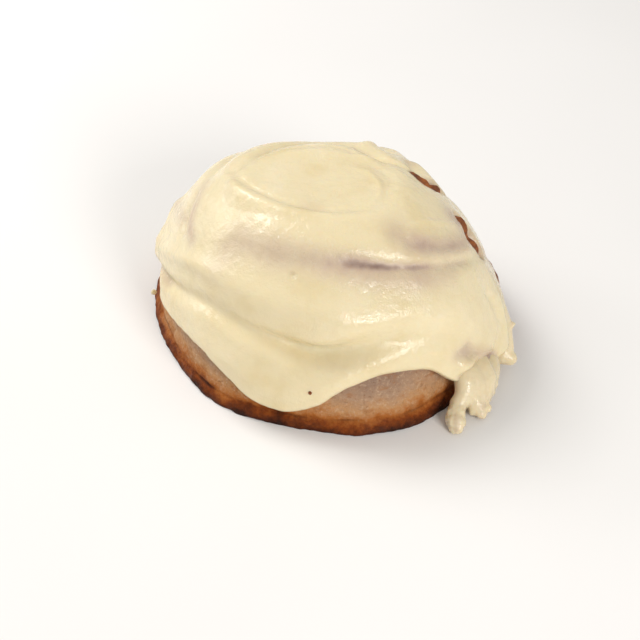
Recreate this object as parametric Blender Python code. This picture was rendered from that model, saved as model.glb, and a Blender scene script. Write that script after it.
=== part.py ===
"""A frosted cinnamon bun: one long strip of dough rolled up round its filling, under a thick coat of icing.

The frame is in metres with +Z up. The origin is the middle of the flat base, and -Y is the bun's front.
Azimuths are measured in degrees about +Z, from +X towards +Y.
"""

import math
from itertools import takewhile

import bmesh
import bpy
from mathutils import Vector
from mathutils.bvhtree import BVHTree

MM = 0.001
TAU = math.tau

# The dough's outer form, a leaning dome that spreads into a crusty foot with a rounded edge.
DOUGH_RADIUS = 55.3 * MM
DOUGH_HEIGHT = 56.0 * MM
SIDE_POWER = 0.60
TOP_POWER = 1.72
LEAN = Vector((-4.3 * MM, -3.7 * MM))
FOOT_FLARE = 2.0 * MM
FOOT_HEIGHT = 11.0 * MM
BASE_TUCK = 0.8 * MM
TUCK_HEIGHT = 2.0 * MM
# Each wave of the outline: how many round the bun, how far it stands out, and where it peaks.
OUTLINE_WAVES = (
    (1, 2.0 * MM, -143.0),
    (2, 2.8 * MM, -11.0),
    (3, 2.0 * MM, 34.0),
    (4, 0.9 * MM, -33.0),
    (5, 0.9 * MM, 0.0),
    (6, 0.6 * MM, -6.0),
)
DOUGH_COLUMNS = 48
DOUGH_ROWS = 16
ROW_CROWDING = 1.5

# The seam between the turns, an Archimedean spiral that flares outwards where the strip ends.
SEAM_PITCH = 11.1 * MM
SEAM_START_RADIUS = 4.5 * MM
SEAM_START_AZIMUTH = 176.0
SEAM_TURNS = 3.86
SEAM_FLARE_TURNS = 0.14
SEAM_FLARE = 11.0 * MM
SEAM_STEP = 6.5 * MM
LONGEST_SEAM_TURN_STEP = math.radians(24.0)

# The filling and the slot that holds it.
FILLING_THICKNESS = 1.0 * MM
FIT_GAP = 0.3 * MM
FILLING_FLOOR = 0.6 * MM
FILLING_BELOW_CRUST = 1.0 * MM
FILLING_END_INSET = 1.6 * MM

# The icing, a coat over the dough with an uneven lower edge.
ICING_GAP = 0.55 * MM
ICING_TOP_THICKNESS = 3.6 * MM
ICING_SIDE_THICKNESS = 2.9 * MM
ICING_EDGE_HEIGHT = 14.5 * MM
ICING_COLUMNS = 72
OUTSIDE_ROWS = 22
UNDERSIDE_ROWS = 9
ICING_CROWDING = 1.45
# Each lobe of the lower edge: its azimuth, how far it rises, and its half-width in degrees.
EDGE_LOBES = (
    (-172.0, -2.5 * MM, 10.0),
    (-140.0, 1.6 * MM, 14.0),
    (-108.0, -9.6 * MM, 13.0),
    (-66.0, 5.6 * MM, 15.0),
    (-45.0, -4.5 * MM, 8.0),
    (-24.0, -6.5 * MM, 12.0),
    (20.0, 2.5 * MM, 16.0),
    (62.0, -5.0 * MM, 13.0),
    (100.0, 3.0 * MM, 14.0),
    (140.0, -4.0 * MM, 12.0),
)
# The thicker welt of icing behind each of these parts of the edge: azimuth, extra thickness, half-width.
EDGE_WELTS = ((-108.0, 1.2 * MM, 26.0), (-29.0, 4.4 * MM, 21.0), (62.0, 0.8 * MM, 22.0))
# The swirl on the top: its middle, half-length and half-width, and the lip round its flat middle.
SWIRL_MIDDLE = Vector((-7.0 * MM, -6.0 * MM))
SWIRL_REACH = Vector((29.0 * MM, 17.0 * MM))
SWIRL_LIP = 1.0 * MM
SWIRL_LIP_WIDTH = 0.16
# The icing sinks in over the seam of the coils, more over the last turn, and this far to either side.
SINK_DEPTH = 1.5 * MM
LAST_TURN_SINK = 0.7 * MM
SINK_HALF_WIDTH = 2.6 * MM
FIRST_SUNK_TURN = 1.4

# The runs of icing that leave the coat: stations of (x, y, z, radius), the last ones down at the base.
FRONT_RUN = (
    (36.5, -33.0, 21.5, 7.0),
    (40.6, -38.6, 14.5, 7.2),
    (43.6, -42.0, 9.0, 5.8),
    (45.8, -44.0, 5.0, 4.4),
    (47.6, -46.0, 2.7, 2.9),
)
FRONT_RUN_FORK = (
    (42.0, -41.5, 10.5, 5.2),
    (41.2, -46.0, 6.2, 4.4),
    (40.2, -50.2, 3.9, 3.8),
    (39.6, -53.2, 2.8, 2.8),
)
SIDE_RUN = (
    (49.5, -13.0, 25.0, 4.6),
    (52.5, -17.0, 17.5, 4.4),
    (55.0, -20.3, 11.0, 4.0),
    (56.3, -22.4, 6.4, 4.0),
)
RUN_SIDES = 10
RUN_BLUNTNESS = 0.62
RUN_GAP = 1.1 * MM


def angle_between(degrees, centre):
    """The difference of two azimuths, from -180 to 180 degrees."""
    return (degrees - centre + 180.0) % 360.0 - 180.0


def lobe(degrees, centre, half_width):
    """A smooth bump round the bun, 1 at its centre."""
    return math.exp(-((angle_between(degrees, centre) / half_width) ** 2))


def outline_radius(azimuth):
    """The dough's greatest radius at an azimuth in radians."""
    radius = DOUGH_RADIUS
    for count, size, peak in OUTLINE_WAVES:
        radius += size * math.cos(count * (azimuth - math.radians(peak)))
    return radius


def crust_point(azimuth, fall):
    """A point of the smooth crust: fall runs from 0 at the top of the dome to 1 at the base."""
    tilt = fall * math.pi / 2
    height = DOUGH_HEIGHT * max(0.0, math.cos(tilt)) ** TOP_POWER
    radius = outline_radius(azimuth) * math.sin(tilt) ** SIDE_POWER
    radius += FOOT_FLARE * max(0.0, 1.0 - height / FOOT_HEIGHT) ** 2
    radius -= BASE_TUCK * max(0.0, 1.0 - height / TUCK_HEIGHT) ** 2
    middle = LEAN * (height / DOUGH_HEIGHT)
    return Vector((middle.x + radius * math.cos(azimuth), middle.y + radius * math.sin(azimuth), height))


def crust_normal(azimuth, fall):
    """The outward direction of the smooth crust."""
    step = 0.002
    fall = min(max(fall, 0.03), 1.0 - step)
    along = crust_point(azimuth, fall + step) - crust_point(azimuth, fall - step)
    across = crust_point(azimuth + step, fall) - crust_point(azimuth - step, fall)
    return along.cross(across).normalized()


def crowded(share):
    """Rows crowd together near the top of the dome, where the fall is steepest in radius."""
    return share**ROW_CROWDING


def new_object(name, mesh_builder, colour, roughness):
    """Turns a finished bmesh into a named, smooth-shaded object with a plain material."""
    bmesh.ops.recalc_face_normals(mesh_builder, faces=mesh_builder.faces)
    if mesh_builder.calc_volume(signed=True) < 0:
        bmesh.ops.reverse_faces(mesh_builder, faces=mesh_builder.faces)
    mesh = bpy.data.meshes.new(name)
    mesh_builder.to_mesh(mesh)
    mesh_builder.free()
    mesh.shade_smooth()
    mesh.set_sharp_from_angle(angle=math.radians(40.0))
    material = bpy.data.materials.new(name)
    material.use_nodes = True
    shader = material.node_tree.nodes["Principled BSDF"]
    shader.inputs["Base Color"].default_value = (*colour, 1.0)
    shader.inputs["Roughness"].default_value = roughness
    shader.inputs["Metallic"].default_value = 0.0
    mesh.materials.append(material)
    obj = bpy.data.objects.new(name, mesh)
    bpy.context.scene.collection.objects.link(obj)
    return obj


def bridge(mesh_builder, rings, closed_start, closed_end):
    """Joins rings of vertices into a skin, and closes either end with one face."""
    count = len(rings[0])
    for lower, upper in zip(rings, rings[1:]):
        for k in range(count):
            n = (k + 1) % count
            mesh_builder.faces.new((lower[k], lower[n], upper[n], upper[k]))
    if closed_start:
        mesh_builder.faces.new(rings[0])
    if closed_end:
        mesh_builder.faces.new(rings[-1])


def dome_mesh():
    """The whole dough before its seam is cut."""
    built = bmesh.new()
    azimuths = [TAU * k / DOUGH_COLUMNS for k in range(DOUGH_COLUMNS)]
    rings = []
    for row in range(1, DOUGH_ROWS + 1):
        fall = crowded(row / DOUGH_ROWS)
        rings.append([built.verts.new(crust_point(azimuth, fall)) for azimuth in azimuths])
    bridge(built, rings, closed_start=False, closed_end=True)
    peak = built.verts.new(crust_point(0.0, 0.0))
    for k in range(DOUGH_COLUMNS):
        built.faces.new((peak, rings[0][k], rings[0][(k + 1) % DOUGH_COLUMNS]))
    return built


def seam_radius(turns):
    """The seam's distance from its axis after a number of turns."""
    flare = max(0.0, (turns - (SEAM_TURNS - SEAM_FLARE_TURNS)) / SEAM_FLARE_TURNS)
    return SEAM_START_RADIUS + SEAM_PITCH * turns + SEAM_FLARE * flare**2


def seam_place(turns):
    """The seam's place (x, y) after a number of turns."""
    azimuth = math.radians(SEAM_START_AZIMUTH) + TAU * turns
    return LEAN + Vector((math.cos(azimuth), math.sin(azimuth))) * seam_radius(turns)


def seam_line():
    """Places (x, y) along the seam, each with its sideways direction."""
    line = []
    turns = 0.0
    nudge = 0.001
    while turns < SEAM_TURNS:
        ahead = seam_place(turns + nudge) - seam_place(turns - nudge)
        line.append((seam_place(turns), Vector((ahead.y, -ahead.x)).normalized()))
        turns += min(SEAM_STEP / seam_radius(turns), LONGEST_SEAM_TURN_STEP) / TAU
    return line


def seam_wall(line, section):
    """A wall swept along the seam. section gives the (sideways, height) of its corners at a place (x, y)."""
    built = bmesh.new()
    rings = []
    for place, side in line:
        ring = []
        for sideways, height in section(place):
            corner = place + side * sideways
            ring.append(built.verts.new((corner.x, corner.y, height)))
        rings.append(ring)
    bridge(built, rings, closed_start=True, closed_end=True)
    bmesh.ops.triangulate(built, faces=built.faces)
    return built


def build_dough_and_filling():
    """The rolled strip and the filling between its turns."""
    dome = dome_mesh()
    surface = BVHTree.FromBMesh(dome)
    sky = 2 * DOUGH_HEIGHT

    def height_at(point):
        hit = surface.ray_cast(Vector((point.x, point.y, sky)), Vector((0, 0, -1)))[0]
        return hit.z if hit else 0.0

    half_slot = FILLING_THICKNESS / 2 + FIT_GAP
    half_filling = FILLING_THICKNESS / 2
    above = 4 * MM

    def slot_section(point):
        wall = [(-half_slot, -above), (-half_slot, height_at(point) + above)]
        return wall + [(-sideways, height) for sideways, height in reversed(wall)]

    def filling_section(point):
        top = max(height_at(point) - FILLING_BELOW_CRUST, 2 * FILLING_FLOOR)
        left = [(-half_filling, FILLING_FLOOR), (-half_filling, top)]
        return left + [(-sideways, height) for sideways, height in reversed(left)]

    dough = new_object("dough", dome, (0.62, 0.42, 0.27), 0.7)
    line = seam_line()
    cutter = new_object("seam_cutter", seam_wall(line, slot_section), (0.5, 0.5, 0.5), 0.5)
    combine(dough, "DIFFERENCE", as_guide(cutter))

    inside = list(takewhile(lambda station: filling_fits(station[0]), line[1:]))
    new_object("cinnamon_filling", seam_wall(inside, filling_section), (0.20, 0.08, 0.04), 0.55)


def filling_fits(point):
    """True where the filling stays inside the dough's side."""
    outward = point.length + FILLING_END_INSET
    return outward < outline_radius(math.atan2(point.y, point.x)) - BASE_TUCK


def edge_fall(azimuth):
    """How far down the dome the icing reaches at an azimuth."""
    degrees = math.degrees(azimuth)
    rise = sum(size * lobe(degrees, centre, width) for centre, size, width in EDGE_LOBES)
    height = ICING_EDGE_HEIGHT + rise
    return math.acos((height / DOUGH_HEIGHT) ** (1.0 / TOP_POWER)) / (math.pi / 2)


def seam_sink(place):
    """How far the icing sinks in over the nearest turn of the seam."""
    outward = Vector((place.x, place.y)) - LEAN
    azimuth = math.degrees(math.atan2(outward.y, outward.x))
    part_turn = ((azimuth - SEAM_START_AZIMUTH) / 360.0) % 1.0
    whole = round((outward.length - SEAM_START_RADIUS) / SEAM_PITCH - part_turn)
    turns = whole + part_turn
    if not FIRST_SUNK_TURN < turns < SEAM_TURNS:
        return 0.0
    sideways = (outward.length - SEAM_START_RADIUS - SEAM_PITCH * turns) / SINK_HALF_WIDTH
    depth = SINK_DEPTH + LAST_TURN_SINK * max(0.0, turns + 1.0 - SEAM_TURNS)
    return depth * math.exp(-(sideways**2))


def icing_thickness(azimuth, fall, share):
    """The coat's thickness, with the swirl on the top and the welts above the lower edge."""
    degrees = math.degrees(azimuth)
    steep = share**2
    thickness = ICING_TOP_THICKNESS * (1 - steep) + ICING_SIDE_THICKNESS * steep
    welt = sum(extra * lobe(degrees, centre, width) for centre, extra, width in EDGE_WELTS)
    thickness += welt * math.exp(-(((share - 0.85) / 0.18) ** 2))
    place = crust_point(azimuth, fall)
    across = (place.x - SWIRL_MIDDLE.x) / SWIRL_REACH.x
    ahead = (place.y - SWIRL_MIDDLE.y) / SWIRL_REACH.y
    lip = math.exp(-(((math.hypot(across, ahead) - 1.0) / SWIRL_LIP_WIDTH) ** 2))
    return thickness + SWIRL_LIP * lip - seam_sink(place)


def build_icing_coat():
    """The coat as one closed skin: its outside, a rounded lip and its underside."""
    built = bmesh.new()
    azimuths = [TAU * k / ICING_COLUMNS for k in range(ICING_COLUMNS)]
    lip = ((1.0, 1.0), (1.018, 0.62), (1.018, 0.2))

    def shares(rows):
        return [(row / rows) ** ICING_CROWDING for row in range(1, rows + 1)]

    def ring(share, thickness_share):
        made = []
        for azimuth in azimuths:
            fall = edge_fall(azimuth) * share
            out = icing_thickness(azimuth, fall, min(share, 1.0)) * thickness_share
            place = crust_point(azimuth, fall) + crust_normal(azimuth, fall) * (ICING_GAP + out)
            made.append(built.verts.new(place))
        return made

    outside = [ring(share, 1.0) for share in shares(OUTSIDE_ROWS)[:-1]]
    outside += [ring(share, part) for share, part in lip]
    underside = [ring(share, 0.0) for share in reversed(shares(UNDERSIDE_ROWS))]
    rings = outside + underside
    bridge(built, rings, closed_start=False, closed_end=False)
    gap = Vector((0, 0, ICING_GAP))
    for end, lift in ((rings[0], ICING_TOP_THICKNESS), (rings[-1], 0.0)):
        peak = built.verts.new(crust_point(0.0, 0.0) + gap + Vector((0, 0, lift)))
        for k in range(ICING_COLUMNS):
            built.faces.new((peak, end[k], end[(k + 1) % ICING_COLUMNS]))
    return new_object("icing", built, (0.85, 0.75, 0.50), 0.35)


def as_guide(obj):
    """Marks a shape that only cuts or joins."""
    obj.hide_render = True
    obj.display_type = "WIRE"
    return obj


def combine(obj, operation, other):
    """Adds an exact Boolean that cuts other from obj or joins it on."""
    change = obj.modifiers.new(other.name, "BOOLEAN")
    change.operation = operation
    change.solver = "EXACT"
    change.object = other


def build_clearance():
    """The dough's form, grown by the gap that the runs keep from it."""
    built = bmesh.new()
    azimuths = [TAU * k / DOUGH_COLUMNS for k in range(DOUGH_COLUMNS)]
    rings = []
    for row in range(2, DOUGH_ROWS + 1):
        fall = crowded(row / DOUGH_ROWS)
        ring = []
        for azimuth in azimuths:
            grown = crust_point(azimuth, fall) + crust_normal(azimuth, fall) * RUN_GAP
            ring.append(built.verts.new(grown))
        rings.append(ring)
    rings.append([built.verts.new((v.co.x, v.co.y, -2 * MM)) for v in rings[-1]])
    bridge(built, rings, closed_start=True, closed_end=True)
    bmesh.ops.triangulate(built, faces=built.faces)
    return as_guide(new_object("dough_clearance", built, (0.5, 0.5, 0.5), 0.5))


def build_run(name, stations):
    """A run of icing as a tapering round body through its stations, with blunt ends."""
    built = bmesh.new()
    centres = [Vector(station[:3]) * MM for station in stations]
    radii = [station[3] * MM for station in stations]
    first, last = centres[0] - centres[1], centres[-1] - centres[-2]
    centres.insert(0, centres[0] + first.normalized() * radii[0] * RUN_BLUNTNESS)
    centres.append(centres[-1] + last.normalized() * radii[-1] * RUN_BLUNTNESS)
    radii = [radii[0] * RUN_BLUNTNESS, *radii, radii[-1] * RUN_BLUNTNESS]
    rings = []
    for k, (centre, radius) in enumerate(zip(centres, radii)):
        ahead = centres[min(k + 1, len(centres) - 1)] - centres[max(k - 1, 0)]
        side = ahead.cross(Vector((0, 0, 1))).normalized()
        upward = side.cross(ahead).normalized()
        ring = []
        for n in range(RUN_SIDES):
            turn = TAU * n / RUN_SIDES
            point = centre + (side * math.cos(turn) + upward * math.sin(turn)) * radius
            point.z = max(point.z, 0.0)
            ring.append(built.verts.new(point))
        rings.append(ring)
    bridge(built, rings, closed_start=True, closed_end=True)
    bmesh.ops.triangulate(built, faces=built.faces)
    return as_guide(new_object(name, built, (0.85, 0.75, 0.50), 0.35))


def build_icing():
    """The coat with its runs joined on, each kept clear of the dough."""
    coat = build_icing_coat()
    clearance = build_clearance()
    runs = {"front_run": FRONT_RUN, "front_run_fork": FRONT_RUN_FORK, "side_run": SIDE_RUN}
    for name, stations in runs.items():
        run = build_run(name, stations)
        combine(run, "DIFFERENCE", clearance)
        combine(coat, "UNION", run)


def main():
    for obj in list(bpy.data.objects):
        bpy.data.objects.remove(obj)
    build_dough_and_filling()
    build_icing()


main()
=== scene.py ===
"""The looks of a frosted cinnamon bun: a rolled, browned dough under a thick coat of glossy icing.

Lengths in the tables are in millimetres in the bun's own frame: the origin is the middle of the flat base,
+Z is up and -Y is the front. A picture place is a point (x, y) in the 640 x 640 picture, and stands for the
point of the icing that the camera sees there.
"""

import math

import bmesh
import bpy
import numpy as np
from mathutils import Matrix, Vector
from mathutils.bvhtree import BVHTree


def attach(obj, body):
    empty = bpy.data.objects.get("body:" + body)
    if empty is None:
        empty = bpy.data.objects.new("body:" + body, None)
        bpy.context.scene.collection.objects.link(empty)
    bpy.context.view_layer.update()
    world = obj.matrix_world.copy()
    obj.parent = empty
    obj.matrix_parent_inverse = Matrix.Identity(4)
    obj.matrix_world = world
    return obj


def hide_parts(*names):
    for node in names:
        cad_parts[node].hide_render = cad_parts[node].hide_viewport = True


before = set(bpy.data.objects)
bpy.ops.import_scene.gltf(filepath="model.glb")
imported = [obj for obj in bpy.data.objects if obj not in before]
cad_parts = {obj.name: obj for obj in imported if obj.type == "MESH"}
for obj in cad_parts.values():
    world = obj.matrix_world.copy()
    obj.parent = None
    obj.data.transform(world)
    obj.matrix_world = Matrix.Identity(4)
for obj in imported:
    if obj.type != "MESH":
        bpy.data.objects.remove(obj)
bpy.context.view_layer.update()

MM = 0.001
TAU = math.tau

# The camera, at the photograph's viewing angle.
CAMERA_PLACE = Vector((-4.3, -363.3, 307.4))
CAMERA_RIGHT = Vector((0.9993, 0.0249, 0.0292))
CAMERA_UP = Vector((-0.0384, 0.6476, 0.761))
CAMERA_BACK = CAMERA_RIGHT.cross(CAMERA_UP).normalized()
FOCAL_PIXELS = 1395.0
PICTURE_SIZE = 640
SENSOR_WIDTH = 36.0

# The dough's outer form, as in the CAD model.
DOUGH_RADIUS = 55.3
DOUGH_HEIGHT = 56.0
SIDE_POWER = 0.60
TOP_POWER = 1.72
LEAN = np.array([-4.3, -3.7])
FOOT_FLARE = 2.0
FOOT_HEIGHT = 11.0
BASE_TUCK = 0.8
TUCK_HEIGHT = 2.0
OUTLINE_WAVES = (
    (1, 2.0, -143.0),
    (2, 2.8, -11.0),
    (3, 2.0, 34.0),
    (4, 0.9, -33.0),
    (5, 0.9, 0.0),
    (6, 0.6, -6.0),
)
SEAM_PITCH = 11.1
SEAM_START_RADIUS = 4.5
SEAM_START_AZIMUTH = 176.0
SEAM_TURNS = 3.86
SEAM_FLARE_TURNS = 0.14
SEAM_FLARE = 11.0
FAR_OFF = 1000.0

# The icing's outer form before its folds.
ICING_RADIUS = 57.9
ICING_HEIGHT = 60.0
ICING_SIDE_POWER = 2 / 3.49
ICING_TOP_POWER = 2 / 1.21
ICING_WAVES = ((2, 4.67, -17.3), (3, 0.98, 43.9), (4, 2.02, -33.2))
# The icing's lower edge: azimuth and height above the base.
ICING_EDGE = (
    (-175, 14.5), (-171, 11.5), (-161, 12.6), (-146, 14.6), (-135, 14.8), (-125, 11.6), (-118, 8.2),
    (-113, 6.2), (-107, 5.4), (-100, 6.6), (-93, 9.4), (-87, 13.6), (-81, 16.8), (-73, 19.3), (-67, 19.7),
    (-57, 18.6), (-53, 16.6), (-49, 12.5), (-45, 9.4), (-37, 8.0), (-27, 8.3), (-18, 7.0), (-8, 11.0),
    (4, 15.5), (18, 17.0), (34, 13.0), (50, 9.0), (63, 8.2), (76, 12.0), (92, 17.0), (108, 16.0),
    (126, 11.5), (140, 9.5), (154, 12.5), (168, 16.5),
)


def as_line(points, count=48):
    """A smooth line through points, as evenly numbered samples."""
    points = np.asarray(points, float)
    ends = np.vstack([2 * points[0] - points[1], points, 2 * points[-1] - points[-2]])
    spans = len(points) - 1
    where = np.linspace(0, spans, count)
    span = np.minimum(where.astype(int), spans - 1)
    t = (where - span)[:, None]
    a, b, c, d = (ends[span + k] for k in range(4))
    return 0.5 * (2 * b + (c - a) * t + (2 * a - 5 * b + 4 * c - d) * t**2 + (3 * b - a - 3 * c + d) * t**3)


def waves(azimuth, radius, table):
    """A round outline with its waves: how many, how far they stand out, and where they peak."""
    for count, size, peak in table:
        radius = radius + size * np.cos(count * (azimuth - math.radians(peak)))
    return radius


def dough_form(azimuth, fall):
    """Points of the dough's crust: fall runs from 0 at the top to 1 at the base."""
    tilt = fall * math.pi / 2
    height = DOUGH_HEIGHT * np.clip(np.cos(tilt), 0, 1) ** TOP_POWER
    radius = waves(azimuth, DOUGH_RADIUS, OUTLINE_WAVES) * np.sin(tilt) ** SIDE_POWER
    radius = radius + FOOT_FLARE * np.clip(1 - height / FOOT_HEIGHT, 0, 1) ** 2
    radius = radius - BASE_TUCK * np.clip(1 - height / TUCK_HEIGHT, 0, 1) ** 2
    share = height / DOUGH_HEIGHT
    x = LEAN[0] * share + radius * np.cos(azimuth)
    y = LEAN[1] * share + radius * np.sin(azimuth)
    return np.stack(np.broadcast_arrays(x, y, height), -1)


def icing_form(azimuth, fall):
    """Points of the icing's outer form before its folds."""
    tilt = fall * math.pi / 2
    height = ICING_HEIGHT * np.clip(np.cos(tilt), 0, 1) ** ICING_TOP_POWER
    radius = waves(azimuth, ICING_RADIUS, ICING_WAVES) * np.sin(tilt) ** ICING_SIDE_POWER
    share = height / ICING_HEIGHT
    x = LEAN[0] * share + radius * np.cos(azimuth)
    y = LEAN[1] * share + radius * np.sin(azimuth)
    return np.stack(np.broadcast_arrays(x, y, height), -1)


def normals_of(form, azimuth, fall):
    """The outward directions of a form."""
    step = 0.002
    fall = np.clip(fall, 0.02, 1 - step)
    along = form(azimuth, fall + step) - form(azimuth, fall - step)
    across = form(azimuth + step, fall) - form(azimuth - step, fall)
    out = np.cross(along, across)
    return out / np.linalg.norm(out, axis=-1, keepdims=True)


def grid_faces(rows, columns, start=0):
    """The quads between rings of vertices, each ring closed round the bun."""
    row, column = np.meshgrid(np.arange(rows - 1), np.arange(columns), indexing="ij")
    after = (column + 1) % columns
    a, b = start + row * columns + column, start + row * columns + after
    return np.stack([a, a + columns, b + columns, b], -1).reshape(-1, 4)


def make_piece(name, points, quads, triangles=()):
    """A smooth-shaded object from points in millimetres."""
    mesh = bpy.data.meshes.new(name)
    faces = [tuple(face) for face in np.asarray(quads).tolist()]
    faces += [tuple(face) for face in np.asarray(triangles, int).reshape(-1, 3).tolist()]
    mesh.from_pydata((np.asarray(points) * MM).tolist(), [], faces)
    mesh.validate()
    mesh.shade_smooth()
    piece = bpy.data.objects.new(name, mesh)
    bpy.context.scene.collection.objects.link(piece)
    return piece


def store(piece, name, values):
    """Keeps one number for each vertex, for the material to read."""
    layer = piece.data.attributes.new(name, "FLOAT", "POINT")
    layer.data.foreach_set("value", np.asarray(values, np.float32))


class Noise:
    """Smooth random values in space, from -1 to 1, the same on each run."""

    SIZE = 32

    def __init__(self, seed):
        self.values = np.random.default_rng(seed).uniform(-1, 1, (self.SIZE,) * 3)

    def __call__(self, points, scale, stretch=(1, 1, 1)):
        place = np.asarray(points) / (scale * np.asarray(stretch)) + 1000.37
        low = np.floor(place).astype(int)
        part = place - low
        part = part * part * (3 - 2 * part)
        total = 0
        for corner in np.ndindex(2, 2, 2):
            index = tuple(((low + corner) % self.SIZE)[:, k] for k in range(3))
            weight = np.prod(np.where(corner, part, 1 - part), axis=1)
            total = total + weight * self.values[index]
        return total


def smoothstep(low, high, value):
    """Rises smoothly from 0 at low to 1 at high, or falls where low is above high."""
    part = np.clip((value - low) / (high - low), 0, 1)
    return part * part * (3 - 2 * part)


def to_line(points, line):
    """For each point: its distance to a line, how far along that is (0 to 1), and the sideways offset."""
    best = np.full(len(points), np.inf)
    along = np.zeros(len(points))
    offset = np.zeros((len(points), 3))
    for k in range(len(line) - 1):
        start, way = line[k], line[k + 1] - line[k]
        part = np.clip(((points - start) @ way) / max(way @ way, 1e-9), 0, 1)
        apart = points - start - part[:, None] * way
        distance = np.linalg.norm(apart, axis=1)
        nearer = distance < best
        best = np.where(nearer, distance, best)
        along = np.where(nearer, (k + part) / (len(line) - 1), along)
        offset = np.where(nearer[:, None], apart, offset)
    return best, along, offset


def levels(values, along):
    """Reads a few values spread evenly along a line."""
    values = np.atleast_1d(values).astype(float)
    return np.interp(along, np.linspace(0, 1, len(values)), values)


def coarse_icing_tree(columns=180, rows=90, top_fall=0.01):
    """The icing's plain form, for lines of sight to be cast onto."""
    azimuth = np.linspace(0, TAU, columns + 1)[:-1]
    fall = np.linspace(top_fall, 1, rows)
    points = icing_form(azimuth[None, :], fall[:, None]).reshape(-1, 3)
    return BVHTree.FromPolygons([Vector(point) for point in points], grid_faces(rows, columns).tolist())


ICING_TREE = coarse_icing_tree()


def sight_through(place):
    """The direction from the camera through a picture place."""
    across, down = place[0] - PICTURE_SIZE / 2, place[1] - PICTURE_SIZE / 2
    return (CAMERA_RIGHT * across - CAMERA_UP * down - CAMERA_BACK * FOCAL_PIXELS).normalized()


def on_level(place, height):
    """The point at a height above the base on the line of sight through a picture place."""
    sight = sight_through(place)
    return np.array(CAMERA_PLACE + sight * ((height - CAMERA_PLACE.z) / sight.z))


def on_icing(place):
    """The point of the icing's outer form under a picture place, or the nearest one to that line of sight."""
    sight = sight_through(place)
    hit = ICING_TREE.ray_cast(CAMERA_PLACE, sight)[0]
    if hit is None:
        depth = -CAMERA_PLACE.dot(sight)
        hit = ICING_TREE.find_nearest(CAMERA_PLACE + sight * depth)[0]
    return np.array(hit)


def seen_line(places, count=48):
    """A smooth line on the icing's plain form through picture places."""
    return as_line([on_icing(place) for place in places], count)


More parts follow.
